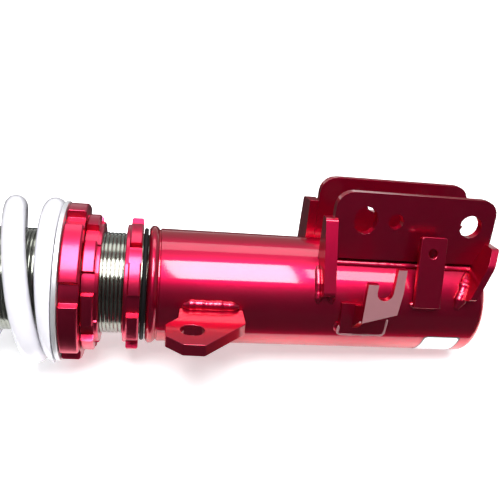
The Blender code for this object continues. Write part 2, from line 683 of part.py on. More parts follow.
def bearing_housing(mats, mount):
    """Camber slider: bored block under the top plate with a neck through its slot."""
    ring_low = BALL_H + 7.8 * MM
    ring_high = ring_low + 1.4 * MM
    top = BALL_H + 11.5 * MM
    base_low = BALL_H - 10 * MM
    base_high = PLATE_H - GAP
    neck = 26 * MM
    profile = [
        (16.6 * MM, base_low), (28 * MM, base_low), (28 * MM, base_high), (neck, base_high), (neck, top),
        (19.8 * MM, top), (19.8 * MM, ring_high + GAP), (21.4 * MM, ring_high + GAP),
        (21.4 * MM, ring_low - GAP), (19.8 * MM, ring_low - GAP), (19.8 * MM, BALL_H - 7.8 * MM),
        (16.6 * MM, BALL_H - 7.8 * MM),
    ]
    housing = turned("bearing_housing", profile, mats["anodised"], mount, FINE)
    reach_x, reach_y = CLAMP_X + 7 * MM, CLAMP_Y + 8 * MM
    ears = rounded([(-reach_x, -reach_y), (reach_x, -reach_y), (reach_x, reach_y), (-reach_x, reach_y)],
                   [8 * MM] * 4, 3)

    def flat(u, v, w):
        return (u, v, w)

    base = hidden("slider_base", ears, base_high - 6 * MM, base_high, flat, mats["anodised"], mount)
    bore = hidden("slider_bore", circle(0, 0, 24 * MM, FINE), base_high - 8 * MM, base_high + 2 * MM,
                  flat, mats["anodised"], mount)
    boolean(base, bore, 'DIFFERENCE')
    boolean(housing, base, 'UNION')
    for sx in (-1, 1):
        for sy in (-1, 1):
            tap = hidden(f"slider_tap_{sx}_{sy}", circle(sx * CLAMP_X, sy * CLAMP_Y, 3.3 * MM, 10),
                         base_high - 8 * MM, base_high + 2 * MM, flat, mats["anodised"], mount)
            boolean(housing, tap, 'DIFFERENCE')
    snap_gap = radians(20)
    ring = [(21.1 * MM * cos(a), 21.1 * MM * sin(a))
            for a in [snap_gap + (2 * pi - 2 * snap_gap) * i / 20 for i in range(21)]]
    ring += [(17.6 * MM * cos(a), 17.6 * MM * sin(a))
             for a in [2 * pi - snap_gap - (2 * pi - 2 * snap_gap) * i / 20 for i in range(21)]]
    prism("snap_ring", ring, ring_low, ring_high, flat, mats["black"], mount)
    return housing


def stud_places():
    return [(STUD_RADIUS * cos(a), STUD_RADIUS * sin(a))
            for a in (radians(45), radians(135), radians(-90))]


def top_plate(mats, mount):
    """Top plate with a long slot for the housing's neck and four clamp slots."""
    half = PLATE_HALF
    outline = rounded([(-half, -half), (half, -half), (half, half), (-half, half)], [26 * MM] * 4, 5)

    def flat(u, v, w):
        return (u, v, w)

    plate = prism("top_plate", outline, PLATE_H, PLATE_H + PLATE_THICK, flat, mats["anodised"], mount)

    def cut(label, hole):
        tool = hidden("plate_" + label, hole, PLATE_H - 2 * MM, PLATE_H + PLATE_THICK + 2 * MM,
                      flat, mats["anodised"], mount)
        boolean(plate, tool, 'DIFFERENCE')

    cut("window", [(v, -u) for u, v in slot(0, 0, 26.4 * MM, 2 * SLIDE, 12)])
    for sx in (-1, 1):
        for sy in (-1, 1):
            hole = [(sx * CLAMP_X + v, sy * CLAMP_Y - u) for u, v in slot(0, 0, 3.4 * MM, 2 * SLIDE, 5)]
            cut(f"clamp_slot_{sx}_{sy}", hole)
    for k, (x, y) in enumerate(stud_places()):
        cut(f"stud_hole_{k}", circle(x, y, 4.3 * MM, SMALL))
    return plate


def mount_fasteners(mats, mount):
    """Socket-head bolts that clamp the camber slider, and the studs that go through the body."""
    plate_top = PLATE_H + PLATE_THICK
    clamp = [(0, PLATE_H - 7 * MM), (3 * MM, PLATE_H - 7 * MM), (3 * MM, plate_top + GAP),
             (5.2 * MM, plate_top + GAP), (5.2 * MM, plate_top + 5.4 * MM),
             (4.6 * MM, plate_top + 6 * MM), (0, plate_top + 6 * MM)]
    corners = [(sx * CLAMP_X, sy * CLAMP_Y) for sx in (-1, 1) for sy in (-1, 1)]
    for k, (x, y) in enumerate(corners, 1):
        bolt = turned(f"clamp_bolt_{k}", clamp, mats["black"], mount, SMALL)
        bolt.location = (x, y, 0)
    threaded = [(0, PLATE_H - 4 * MM), (7 * MM, PLATE_H - 4 * MM), (7 * MM, PLATE_H - GAP),
                (4 * MM, PLATE_H - GAP), (4 * MM, plate_top + 21 * MM), (3.2 * MM, plate_top + 22 * MM),
                (0, plate_top + 22 * MM)]
    for k, (x, y) in enumerate(stud_places(), 1):
        stud = turned(f"body_stud_{k}", threaded, mats["steel"], mount, SMALL)
        stud.location = (x, y, 0)
        nut = hexagon(f"stud_nut_{k}", 6.5 * MM, 4.35 * MM, plate_top + 11 * MM, plate_top + 19 * MM,
                      mats["black"], mount)
        nut.location = (x, y, 0)


def adjuster_knob(mats, strut):
    low, high = 488.4 * MM, 503 * MM
    profile = [(2.9 * MM, low), (8.4 * MM, low), (9 * MM, low + 0.6 * MM), (9 * MM, high - 1 * MM),
               (8 * MM, high), (0, high), (0, 495 * MM), (2.9 * MM, 495 * MM)]
    return turned("damping_adjuster_knob", profile, mats["anodised"], strut, FINE)


# ---- assembly -----------------------------------------------------------
def build():
    clear_scene()
    mats = make_materials()
    strut = bpy.data.objects.new("strut_frame", None)
    bpy.context.collection.objects.link(strut)
    strut.matrix_world = (Matrix.Rotation(lie_pitch() - pi / 2, 4, 'Y')
                          @ Matrix.Rotation(LIE_ROLL, 4, 'Z'))
    mount = bpy.data.objects.new("mount_frame", None)
    bpy.context.collection.objects.link(mount)
    mount.parent = strut
    # the plate's +Y edge faces the plane that the strut lies on, so its slot runs level
    mount.rotation_euler = (0.0, 0.0, pi / 2 - LIE_ROLL)

    bracket_tube(mats, strut)
    bracket_end_cap(mats, strut)
    knuckle_ear("knuckle_ear_front", -1, ((20.8 * MM, 48 * MM), (35.5 * MM, 11 * MM)), mats, strut)
    knuckle_ear("knuckle_ear_rear", 1, ((31 * MM, 47 * MM), (35 * MM, 12 * MM)), mats, strut)
    link_tab(mats, strut)
    hose_bracket(mats, strut)
    sensor_bracket(mats, strut)
    lock_ring("lower_lock_ring", LOWER_RING_R, 182.6 * MM, True, radians(-87.65), mats, strut)
    turned("dust_o_ring", tube_profile(THREAD_R + 0.5 * MM, 30.2 * MM, 179.8 * MM, 182.2 * MM),
           mats["rubber"], strut)
    damper_pieces(mats, strut)
    lock_ring("perch_lock_ring", UPPER_RING_R, 202.3 * MM, False, radians(-70.15), mats, strut)
    perch_collar(mats, strut)
    turned("spring_thrust_washer", tube_profile(31.2 * MM, 41.4 * MM, 220.5 * MM, 222.7 * MM),
           mats["steel"], strut)
    coil_spring(mats, strut)
    rod_pieces(mats, strut)
    bump_and_boot(mats, strut)
    seat_and_spacers(mats, strut)
    pillow_ball_pieces(mats, mount)
    bearing_housing(mats, mount)
    top_plate(mats, mount)
    mount_fasteners(mats, mount)
    adjuster_knob(mats, strut)


build()
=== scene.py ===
"""Studio picture of the strut coilover, with the fine detail that the CAD solids leave out.

Pieces are modelled in the strut frame (+Z up the strut from its lower end face, +X towards
the knuckle ears) or the mount frame (the same axis, +X along the camber slot), in millimetres,
and are laid into the row frame by one matrix each.
"""
import json
from math import asin, atan2, cos, pi, radians, sin, sqrt

import bmesh
import bpy
from mathutils import Matrix, Vector, noise


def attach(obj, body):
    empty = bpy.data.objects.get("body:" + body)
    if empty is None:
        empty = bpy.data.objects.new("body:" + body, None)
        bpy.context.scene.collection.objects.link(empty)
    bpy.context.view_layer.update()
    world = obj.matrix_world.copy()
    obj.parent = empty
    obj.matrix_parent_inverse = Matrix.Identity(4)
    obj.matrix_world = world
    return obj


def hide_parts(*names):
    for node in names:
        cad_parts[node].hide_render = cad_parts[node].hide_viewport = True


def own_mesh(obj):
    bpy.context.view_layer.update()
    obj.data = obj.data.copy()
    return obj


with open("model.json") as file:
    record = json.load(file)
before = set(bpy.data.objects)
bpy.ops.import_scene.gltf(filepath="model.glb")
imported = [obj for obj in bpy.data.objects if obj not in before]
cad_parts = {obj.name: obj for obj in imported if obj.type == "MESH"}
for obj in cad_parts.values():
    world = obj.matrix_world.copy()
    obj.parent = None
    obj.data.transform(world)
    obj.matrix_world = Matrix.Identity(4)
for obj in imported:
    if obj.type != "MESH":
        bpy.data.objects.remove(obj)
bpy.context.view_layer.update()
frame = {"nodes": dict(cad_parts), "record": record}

MM = 0.001
PLATE_H = 455.0                     # underside of the top plate
PLATE_HALF = 62.0
END_ROUND = 5.0
TUBE_R = 30.0                       # bracket tube
BRACKET_H = 179.4                   # height of the tube's mouth
THREAD_R = 26.5                     # M53 x 2 thread on the damper body
THREAD_PITCH = 2.0
RING_BORE_R = THREAD_R + 0.35       # the rings clear the thread's crests
BODY_LOW, BODY_HIGH = 30.0, 290.0
ROD_R = 11.0
BALL_H, BALL_R = 452.0, 14.0        # pillow ball
STUD_CIRCLE_R = 51.0
STUD_TURNS = (45, 135, -90)
CLAMP_X, CLAMP_Y = 42.0, 14.0
LIE_ROLL = radians(18.15)           # the ears lean back by this much when the strut lies down
TAB_FACING = radians(-95.15)        # directions in which the link tab and the clip plate stand out
CLIP_FACING = radians(-94.15)
CLIP_REACH = 36.5                   # the clip plate lies beyond this distance from the axis


def lie_pitch():
    """Pitch at which the tube's rounded end and the top plate's edge touch one plane."""
    run = PLATE_H - END_ROUND
    drop = PLATE_HALF - (TUBE_R - END_ROUND)
    reach = sqrt(run * run + drop * drop)
    return asin(-END_ROUND / reach) + atan2(drop, run)


PITCH = lie_pitch()
STRUT = Matrix.Rotation(PITCH - pi / 2, 4, 'Y') @ Matrix.Rotation(LIE_ROLL, 4, 'Z') @ Matrix.Scale(MM, 4)
MOUNT = Matrix.Rotation(PITCH - pi / 2, 4, 'Y') @ Matrix.Rotation(pi / 2, 4, 'Z') @ Matrix.Scale(MM, 4)


# ---- materials ----------------------------------------------------------
def node_material(name, color, roughness, metallic, coat=0.0, coat_roughness=0.05, bump=0.0,
                  bump_scale=400.0, second=None, glow=0.0, edge=(1.0, 1.0, 1.0)):
    """Principled surface with procedural wear: noise on its roughness and a fine bump.

    second is a colour that the noise mixes in, and edge tints the reflections at a glance.
    """
    mat = bpy.data.materials.new(name)
    mat.use_nodes = True
    tree = mat.node_tree
    shader = tree.nodes["Principled BSDF"]
    shader.inputs["Base Color"].default_value = (*color, 1.0)
    shader.inputs["Roughness"].default_value = roughness
    shader.inputs["Metallic"].default_value = metallic
    shader.inputs["Specular Tint"].default_value = (*edge, 1.0)
    shader.inputs["Coat Weight"].default_value = coat
    shader.inputs["Coat Roughness"].default_value = coat_roughness
    shader.inputs["Emission Color"].default_value = (*color, 1.0)
    shader.inputs["Emission Strength"].default_value = glow
    coords = tree.nodes.new("ShaderNodeTexCoord")
    grain = tree.nodes.new("ShaderNodeTexNoise")
    grain.inputs["Scale"].default_value = 60.0
    grain.inputs["Detail"].default_value = 4.0
    tree.links.new(coords.outputs["Object"], grain.inputs["Vector"])
    spread = tree.nodes.new("ShaderNodeMapRange")
    spread.inputs["To Min"].default_value = max(0.02, roughness - 0.06)
    spread.inputs["To Max"].default_value = roughness + 0.06
    tree.links.new(grain.outputs["Fac"], spread.inputs["Value"])
    tree.links.new(spread.outputs["Result"], shader.inputs["Roughness"])
    if second is not None:
        tint = tree.nodes.new("ShaderNodeMix")
        tint.data_type = 'RGBA'
        tint.inputs["A"].default_value = (*color, 1.0)
        tint.inputs["B"].default_value = (*second, 1.0)
        tree.links.new(grain.outputs["Fac"], tint.inputs["Factor"])
        tree.links.new(tint.outputs["Result"], shader.inputs["Base Color"])
    if bump > 0.0:
        fine = tree.nodes.new("ShaderNodeTexNoise")
        fine.inputs["Scale"].default_value = bump_scale
        fine.inputs["Detail"].default_value = 3.0
        tree.links.new(coords.outputs["Object"], fine.inputs["Vector"])
        relief = tree.nodes.new("ShaderNodeBump")
        relief.inputs["Strength"].default_value = bump
        relief.inputs["Distance"].default_value = 0.0003
        tree.links.new(fine.outputs["Fac"], relief.inputs["Height"])
        tree.links.new(relief.outputs["Normal"], shader.inputs["Normal"])
    return mat


MATERIALS = {
    "candy_paint": node_material("candy paint", (0.50, 0.006, 0.050), 0.38, 0.96, coat=1.0,
                                 coat_roughness=0.07, bump=0.10, bump_scale=200.0,
                                 second=(0.42, 0.004, 0.040), edge=(0.85, 0.20, 0.26)),
    "red_anodised": node_material("red anodised", (0.68, 0.022, 0.085), 0.34, 1.0, coat=0.4,
                                  coat_roughness=0.15, bump=0.08, bump_scale=900.0,
                                  second=(0.60, 0.015, 0.07)),
    "white_powder_coat": node_material("white powder coat", (0.70, 0.69, 0.74), 0.25, 0.0, coat=0.6,
                                       bump=0.04, bump_scale=300.0),
    "nickel_plate": node_material("nickel plate", (0.28, 0.29, 0.25), 0.18, 1.0, bump=0.03),
    "bright_steel": node_material("bright steel", (0.76, 0.76, 0.78), 0.42, 0.75, bump=0.05),
    "hard_chrome": node_material("hard chrome", (0.80, 0.81, 0.83), 0.09, 1.0),
    "machined_alloy": node_material("machined alloy", (0.76, 0.77, 0.79), 0.34, 1.0, bump=0.05),
    "black_zinc": node_material("black oxide", (0.035, 0.035, 0.04), 0.38, 0.6, bump=0.08),
    "black_rubber": node_material("black rubber", (0.006, 0.006, 0.007), 0.62, 0.0, bump=0.15,
                                  edge=(0.25, 0.25, 0.25)),
    "bump_foam": node_material("bump foam", (0.72, 0.60, 0.24), 0.85, 0.0, bump=0.5,
                               bump_scale=1500.0),
    "ptfe_liner": node_material("bronze-filled liner", (0.30, 0.22, 0.14), 0.5, 0.0),
}
FOIL = node_material("label foil", (0.88, 0.88, 0.90), 0.30, 0.2, coat=0.5)
# Lighter, greyer copy of the candy paint: a painted sheen on the hose clip plate's outer face and a
# painted highlight along its foot's rim.
PAINTED_SHEEN_PAINT = node_material("candy paint with painted sheen", (0.40, 0.17, 0.19), 0.45, 0.4, coat=0.5)
INK = node_material("label edge", (0.02, 0.02, 0.025), 0.35, 0.0)


def finish_cad_nodes():
    """The CAD nodes that stay in view carry the same finishes, by their record slot."""
    slots = {entry["node"]: entry["material_slot"] for entry in frame["record"]["subparts"]}
    for name, obj in frame["nodes"].items():
        for slot in obj.material_slots:
            slot.material = MATERIALS[slots[name]]


# ---- mesh helpers -------------------------------------------------------
def settle(name, bm, finish, body, nodes=(), place=STRUT, bevel=0.0, sharp=38.0, steps=2):
    """Turns bm into a piece that rides a body and stands for nodes; finish is a slot or a material.

    bevel eases its edges, in millimetres; without it, edges over sharp degrees stay sharp.
    """
    name = name.replace(" ", "-")
    bmesh.ops.remove_doubles(bm, verts=bm.verts[:], dist=1e-5)
    bmesh.ops.recalc_face_normals(bm, faces=bm.faces[:])
    mesh = bpy.data.meshes.new(name)
    bm.to_mesh(mesh)
    bm.free()
    mesh.transform(place)
    mesh.shade_smooth()
    obj = bpy.data.objects.new(name, mesh)
    bpy.context.collection.objects.link(obj)
    if bevel > 0.0:
        mod = obj.modifiers.new("ease", 'BEVEL')
        mod.width = bevel * MM
        mod.segments = steps
        mod.limit_method = 'ANGLE'
        mod.angle_limit = radians(30)
        mod.use_clamp_overlap = True
        even = obj.modifiers.new("even", 'WEIGHTED_NORMAL')
        even.weight = 100
        bpy.context.view_layer.update()
        shaped = obj.evaluated_get(bpy.context.evaluated_depsgraph_get())
        mesh = bpy.data.meshes.new_from_object(shaped)
        obj.modifiers.clear()
        obj.data = mesh
    else:
        mesh.set_sharp_from_angle(angle=radians(sharp))
    mesh.materials.clear()
    mesh.materials.append(MATERIALS[finish] if isinstance(finish, str) else finish)
    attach(obj, body)
    if nodes:
        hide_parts(*nodes)
    return obj


def skin(bm, rings, closed_path):
    """Skins a list of vertex loops; a loop of one vertex is a pole."""
    count = len(rings)
    for i in range(count if closed_path else count - 1):
        low, high = rings[i], rings[(i + 1) % count]
        if len(low) == 1 and len(high) == 1:
            continue
        around = max(len(low), len(high))
        for k in range(around):
            n = (k + 1) % around
            if len(low) == 1:
                bm.faces.new((low[0], high[n], high[k]))
            elif len(high) == 1:
                bm.faces.new((low[k], low[n], high[0]))
            else:
                bm.faces.new((low[k], low[n], high[n], high[k]))


def lathe(profile, segments=128):
    """Closed outline of (radius, height) points turned about Z."""
    bm = bmesh.new()
    rings = []
    for radius, height in profile:
        if radius <= 0.0:
            rings.append([bm.verts.new((0.0, 0.0, height))])
            continue
        rings.append([bm.verts.new((radius * cos(2 * pi * k / segments),
                                    radius * sin(2 * pi * k / segments), height))
                      for k in range(segments)])
    skin(bm, rings, closed_path=True)
    return bm


def castellated(profile, notches, notch_arc, first_notch):
    """Turned ring cut by notches; the outline has (tooth radius, notch radius, height) points."""
    lean = radians(1.2)
    half = notch_arc / 2
    pitch = 2 * pi / notches
    tooth = pitch - notch_arc
    stations = []
    for k in range(notches):
        centre = first_notch + k * pitch
        stations += [(centre + (half - lean) * (step / 4 - 1), True) for step in range(9)]
        stations += [(centre + half + tooth * step / 14, False) for step in range(15)]
    bm = bmesh.new()
    rings = []
    for tooth_r, notch_r, height in profile:
        ring = []
        for angle, in_notch in stations:
            radius = notch_r if in_notch else tooth_r
            ring.append(bm.verts.new((radius * cos(angle), radius * sin(angle), height)))
        rings.append(ring)
    skin(bm, rings, closed_path=True)
    return bm


def arc(cx, cy, radius, start, end, steps):
    """Points along an arc of a circle, from start to end."""
    return [(cx + radius * cos(start + (end - start) * i / steps),
             cy + radius * sin(start + (end - start) * i / steps)) for i in range(steps + 1)]


def band(inner, outer, low, high, ease=0.25):
    """Outline of a tube or washer whose four edges are chamfered."""
    return [(outer - ease, low), (outer, low + ease), (outer, high - ease), (outer - ease, high),
            (inner + ease, high), (inner, high - ease), (inner, low + ease), (inner + ease, low)]


def screw_thread(bm, radius, pitch, depth, low, high, per_turn=72):
    """Helical ridge wrapped on a cylinder, right-hand."""
    outline = ((0.0, -0.05 * depth), (0.07, 0.0), (0.58, 0.0), (0.65, -0.05 * depth),
               (0.80, -depth), (0.85, -depth))
    total = int((high - low) / pitch * per_turn)
    rows = []
    for i in range(total + 1):
        angle = 2 * pi * i / per_turn
        height = low + pitch * i / per_turn
        rows.append([bm.verts.new(((radius + drop) * cos(angle), (radius + drop) * sin(angle),
                                   min(high, height + share * pitch))) for share, drop in outline])
    count = len(outline)
    for i in range(total):
        for k in range(count - 1):
            bm.faces.new((rows[i][k], rows[i + 1][k], rows[i + 1][k + 1], rows[i][k + 1]))
        if i + 1 + per_turn <= total:
            bm.faces.new((rows[i][-1], rows[i + 1][-1], rows[i + 1 + per_turn][0],
                          rows[i + per_turn][0]))


def hex_prism(half, low, high, bore, place=(0.0, 0.0)):
    """Hexagon nut with turned-off corners; half is half of its width across flats."""
    bm = bmesh.new()
    corner = half / cos(pi / 6)
    steps = 48
    drop = (high - low) * 0.14
    rows = ((bore, low), (corner * 0.93, low), (corner, low + drop), (corner, high - drop),
            (corner * 0.93, high), (bore, high))
    rings = []
    for limit, height in rows:
        ring = []
        for k in range(steps):
            a = 2 * pi * k / steps
            flat = half / cos((a + pi / 6) % (pi / 3) - pi / 6)
            r = min(flat, limit)
            ring.append(bm.verts.new((place[0] + r * cos(a), place[1] + r * sin(a), height)))
        rings.append(ring)
    skin(bm, rings, closed_path=True)
    return bm


def softened(node, finish, body, width):
    """A copy of a CAD node's shape with its edges eased by width, which stands for it."""
    bm = bmesh.new()
    source = frame["nodes"][node]
    bm.from_mesh(source.data)
    bm.transform(Matrix.Scale(1 / MM, 4) @ source.matrix_world)
    bmesh.ops.remove_doubles(bm, verts=bm.verts[:], dist=1e-3)
    bmesh.ops.dissolve_limit(bm, angle_limit=radians(1.0), verts=bm.verts[:], edges=bm.edges[:])
    return settle(node.replace("_", "-"), bm, finish, body, (node,), Matrix.Scale(MM, 4), width,
                  steps=3)


def close_tube(bm, rings):
    """Skins a run of vertex loops and caps both ends."""
    skin(bm, rings, closed_path=False)
    bm.faces.new(rings[0])
    bm.faces.new(list(reversed(rings[-1])))


def radially(point):
    """Direction straight out of the tube at a point."""
    return (point.x, point.y, 0.0)


def weld(name, path, radius, outward=radially, flat=0.7):
    """Rippled bead along a path; outward(point) is the direction it stands up in."""
    bm = bmesh.new()
    points = []
    spacing, ripple, around = 0.45, 2.3, 14
    for a, b in zip(path, path[1:]):
        a, b = Vector(a), Vector(b)
        count = max(1, int((b - a).length / spacing))
        points += [a.lerp(b, i / count) for i in range(count)]
    points.append(Vector(path[-1]))
    rings = []
    total = spacing * len(points)
    for i, point in enumerate(points):
        ahead = points[min(i + 1, len(points) - 1)] - points[max(i - 1, 0)]
        tangent = ahead.normalized()
        up = Vector(outward(point))
        up = (up - tangent * up.dot(tangent)).normalized()
        side = tangent.cross(up)
        travelled = spacing * i
        ends = min(1.0, 0.35 + travelled / (2.0 * radius), 0.35 + (total - travelled) / (2.0 * radius))
        wave = 1.0 + 0.05 * (1.0 - abs(sin(pi * travelled / ripple))) ** 0.5
        wave += 0.22 * noise.noise(point * 0.30)
        size = radius * wave * ends
        ring = []
        for k in range(around):
            a = 2 * pi * k / around
            lift = size * flat * sin(a)
            ring.append(bm.verts.new(point + side * size * cos(a) + up * lift))
        rings.append(ring)
    close_tube(bm, rings)
    return settle(name, bm, "candy_paint", "bracket", sharp=70.0)


# ---- bracket weldment ---------------------------------------------------
def bracket_pieces():
    """Tube with its rolled collar, end cap, O-ring and the pressed plates."""
    corner = TUBE_R - END_ROUND
    profile = [(20.0, 0.0)] + arc(corner, END_ROUND, END_ROUND, -pi / 2, 0.0, 14)
    profile += [(TUBE_R, 172.9), (TUBE_R - 0.15, 173.3), (TUBE_R - 0.7, 173.6), (TUBE_R - 0.7, 174.1)]
    profile += [(TUBE_R + 0.1, 174.5)] + arc(TUBE_R - 1.0, 176.8, 2.3, -0.9, 0.9, 10)
    profile += [(TUBE_R - 0.2, BRACKET_H - 0.3), (TUBE_R - 0.9, BRACKET_H), (27.4, BRACKET_H),
                (26.9, BRACKET_H - 0.5), (26.9, 7.0), (20.0, 7.0)]
    settle("bracket tube", lathe(profile, 160), "candy_paint", "bracket", ("bracket_tube",), sharp=30.0)
    cap = [(0.0, 0.35), (18.4, 0.35), (18.9, 0.35), (19.7, 0.7), (19.7, 7.3), (24.0, 7.3),
           (24.0, 9.3), (0.0, 9.3)]
    settle("bracket end cap", lathe(cap, 96), "candy_paint", "bracket", ("bracket_end_cap",), sharp=30.0)
    ring = arc(28.6, 181.0, 1.15, 0.0, 2 * pi, 14)[:-1]
    settle("dust o-ring", lathe(ring), "black_rubber", "bracket", ("dust_o_ring",))
    softened("knuckle_ear_front", "candy_paint", "bracket", 0.7)
    softened("knuckle_ear_rear", "candy_paint", "bracket", 0.7)
    softened("drop_link_tab", "candy_paint", "bracket", 0.8)
    clip = softened("brake_hose_bracket", "candy_paint", "bracket", 0.45)
    clip.data.materials.append(PAINTED_SHEEN_PAINT)
    outward = Vector((cos(CLIP_FACING), sin(CLIP_FACING), 0.0))
    facing = (STRUT.to_3x3() @ outward).normalized()
    reach = (STRUT @ (outward * CLIP_REACH)).dot(facing)
    # The plate's faces that look straight out, past CLIP_REACH, take the lighter paint: a painted sheen,
    # not a different finish.
    for polygon in clip.data.polygons:
        if abs(polygon.normal.dot(facing)) > 0.8 and polygon.center.dot(facing) > reach:
            polygon.material_index = 1
    softened("sensor_wire_bracket", "candy_paint", "bracket", 0.5)


def on_tube(azimuth, height, lift=0.2):
    """Point just over the bracket tube's surface."""
    return Vector(((TUBE_R + lift) * cos(azimuth), (TUBE_R + lift) * sin(azimuth), height))


def weld_pieces():
    """Fillet welds where each pressed piece meets the bracket tube, and a thin bead of painted highlight
    along the hose bracket foot's rim.
    """
    first, last = asin(20.5 / 30.5), asin(30.0 / 30.5)      # azimuths that a bent wing covers
    for word, side in (("front", -1), ("rear", 1)):
        weld(f"{word} ear foot weld", [(24.3, side * 19.3, 4.0), (24.3, side * 19.3, 87.0)], 1.3,
             lambda p, s=side: (0.55, s, 0.0), flat=0.4)
        weld(f"{word} ear inner weld", [(26.6, side * 14.0, 6.0), (26.6, side * 14.0, 84.0)], 1.7,
             lambda p, s=side: (0.6, -s, 0.0))
        turns = [side * (first + (last - first) * i / 8) for i in range(9)]
        for label, height in (("upper", 93.2), ("lower", 86.2)):
            weld(f"{word} wing {label} weld", [on_tube(azimuth, height) for azimuth in turns], 1.9)
        path = []
        for azimuth in turns:
            point = on_tube(azimuth, 0.0)
            path.append(Vector((point.x, point.y, 3.6 + 0.42 * (39.6 - point.x))))
        weld(f"{word} end wing weld", path, 3.0)
    for word, turn in (("top", 1), ("under", -1)):
        offset = TAB_FACING + turn * asin(4.2 / TUBE_R)
        weld(f"link tab {word} weld", [on_tube(offset, 133.5), on_tube(offset, 161.5)], 2.8)
    foot = [on_tube(radians(-110.5), 80.0), on_tube(radians(-110.5), 58.0)]
    weld("hose bracket foot weld", foot, 1.5)
    # Thin bead in the lighter paint round the foot's bottom and outer edges: a painted highlight on
    # their rounded edge.
    corners = [(-100.0, 81.0), (-107.0, 81.0), (-109.3, 80.4), (-110.0, 79.0), (-110.0, 58.0),
               (-109.3, 56.6), (-107.0, 56.0), (-98.0, 56.0), (-92.0, 56.0)]
    rim = weld("hose bracket foot highlight rim",
               [on_tube(radians(turn), height, 2.2) for turn, height in corners], 0.7, flat=1.0)
    rim.data.materials[0] = PAINTED_SHEEN_PAINT
    path = [on_tube(radians(-109 + 10 * i / 4), 81.6) for i in range(5)]
    weld("hose bracket corner weld", path, 1.9)
    strip = [on_tube(radians(-77.5), 44.0), on_tube(radians(-77.5), 28.0)]
    weld("sensor strip weld", strip, 1.8)


def label_piece():
    """Plain foil label wrapped on the tube, with a dark rim and no lettering."""
    corner = 1.6                                            # radius of its corners
    for name, finish, grow, lift in (("label rim", INK, 0.0, 0.05), ("label foil", FOIL, 0.7, 0.09)):
        first, last = radians(-153) + grow / TUBE_R, radians(-114) - grow / TUBE_R
        low, high = 10.0 + grow, 31.0 - grow
        bm = bmesh.new()
        rows = []
        for i in range(25):
            share = i / 24
            azimuth = first + (last - first) * share
            from_end = min(share, 1.0 - share) * (last - first) * TUBE_R
            inset = corner * max(0.0, 1.0 - from_end / corner)
            inset = corner - sqrt(max(0.0, corner ** 2 - inset ** 2))
            column = []
            for radius, height in ((TUBE_R + lift, low + inset), (TUBE_R + lift, high - inset),
                                   (TUBE_R - 0.05, high - inset), (TUBE_R - 0.05, low + inset)):
                column.append(bm.verts.new((radius * cos(azimuth), radius * sin(azimuth), height)))
            rows.append(column)
        close_tube(bm, rows)
        settle(name, bm, finish, "bracket")


# ---- threaded rings -----------------------------------------------------
def lock_ring(name, node, body, tooth, low, lip_above, first_notch):
    """Castellated lock ring with chamfered teeth and a plain lip on one side."""
    width, lip, lip_r, bore, notch, ease = 6.2, 1.9, 31.0, RING_BORE_R, tooth - 3.4, 0.7
    base = low if lip_above else low + lip
    profile = [(tooth + drop, notch, base + height)
               for drop, height in ((-ease, 0.0), (0.0, ease), (0.0, width - ease), (-ease, width))]
    if lip_above:
        profile += [(lip_r, notch - 0.2, base + width), (lip_r, notch - 0.5, base + width + lip - 0.4),
                    (lip_r - 0.4, notch - 0.9, base + width + lip),
                    (bore + 0.6, bore + 0.6, base + width + lip), (bore, bore, base + width + lip - 0.6),
                    (bore, bore, low + 0.6), (bore + 0.6, bore + 0.6, low)]
    else:
        profile += [(bore + 0.6, bore + 0.6, base + width), (bore, bore, base + width - 0.6),
                    (bore, bore, low + 0.6), (bore + 0.6, bore + 0.6, low),
                    (lip_r - 0.4, notch - 0.9, low), (lip_r, notch - 0.5, low + 0.4),
                    (lip_r, notch - 0.2, low + lip)]
    settle(name, castellated(profile, 8, radians(19), first_notch), "red_anodised", body, (node,),
           bevel=0.22, sharp=32.0)


def ring_pieces():
    """Both lock rings, the spring's perch collar and the thrust washer on it."""
    lock_ring("lower lock ring", "lower_lock_ring", "lower_ring", 34.7, 182.6, True, radians(-87.65))
    lock_ring("perch lock ring", "perch_lock_ring", "perch_lock", 35.5, 202.3, False, radians(-70.15))
    low, high, bore, tooth, notch = 210.8, 220.2, RING_BORE_R, 40.7, 36.9
    profile = [
        (tooth - 0.8, notch, low), (tooth, notch, low + 0.8), (tooth, notch, high - 0.8),
        (tooth - 0.8, notch, high), (30.2, 30.2, high), (30.2, 30.2, high + 3.2),
        (29.8, 29.8, high + 3.6), (bore + 0.6, bore + 0.6, high + 3.6), (bore, bore, high + 3.0),
        (bore, bore, low + 0.6), (bore + 0.6, bore + 0.6, low),
    ]
    settle("spring perch collar", castellated(profile, 6, radians(17), radians(-78.15)), "red_anodised",
           "perch", ("spring_perch_collar",), bevel=0.25, sharp=32.0)
    settle("spring thrust washer", lathe(band(31.2, 41.4, 220.5, 222.7)), "bright_steel",
           "perch_washer", ("spring_thrust_washer",), sharp=30.0)


# ---- spring -------------------------------------------------------------
WIRE_R, COIL_R, SPRING_LOW, SPRING_LENGTH, TURNS = 5.5, 37.4, 223.0, 195.0, 7.0
GROUND_TURNS = 0.25                         # from each tip: the part ground to a taper
TIP_H, GROUND_H = -1.5, 3.0                 # wire centre at the tip and where the taper ends
CLOSED, OPENED = 1.02, 1.12                 # turns from each end: closed coil, then the full pitch
CLOSED_PITCH = 9.4


def spring_height(turn):
    """Height of the wire's centre over the lower seat after that many turns."""
    if turn > TURNS / 2:
        return SPRING_LENGTH - spring_height(TURNS - turn)
    if turn < GROUND_TURNS:
        return TIP_H + (GROUND_H - TIP_H) * turn / GROUND_TURNS
    blend = OPENED - CLOSED
    closed = GROUND_H + CLOSED_PITCH * (CLOSED + blend / 2 - GROUND_TURNS)
    pitch = (SPRING_LENGTH / 2 - closed) / (TURNS / 2 - CLOSED - blend / 2)
    into = min(max(turn - CLOSED, 0.0), blend)
    height = GROUND_H + CLOSED_PITCH * (min(turn, CLOSED) - GROUND_TURNS + into)
    height += (pitch - CLOSED_PITCH) * into * into / (2 * blend)
    return height + pitch * max(0.0, turn - OPENED)


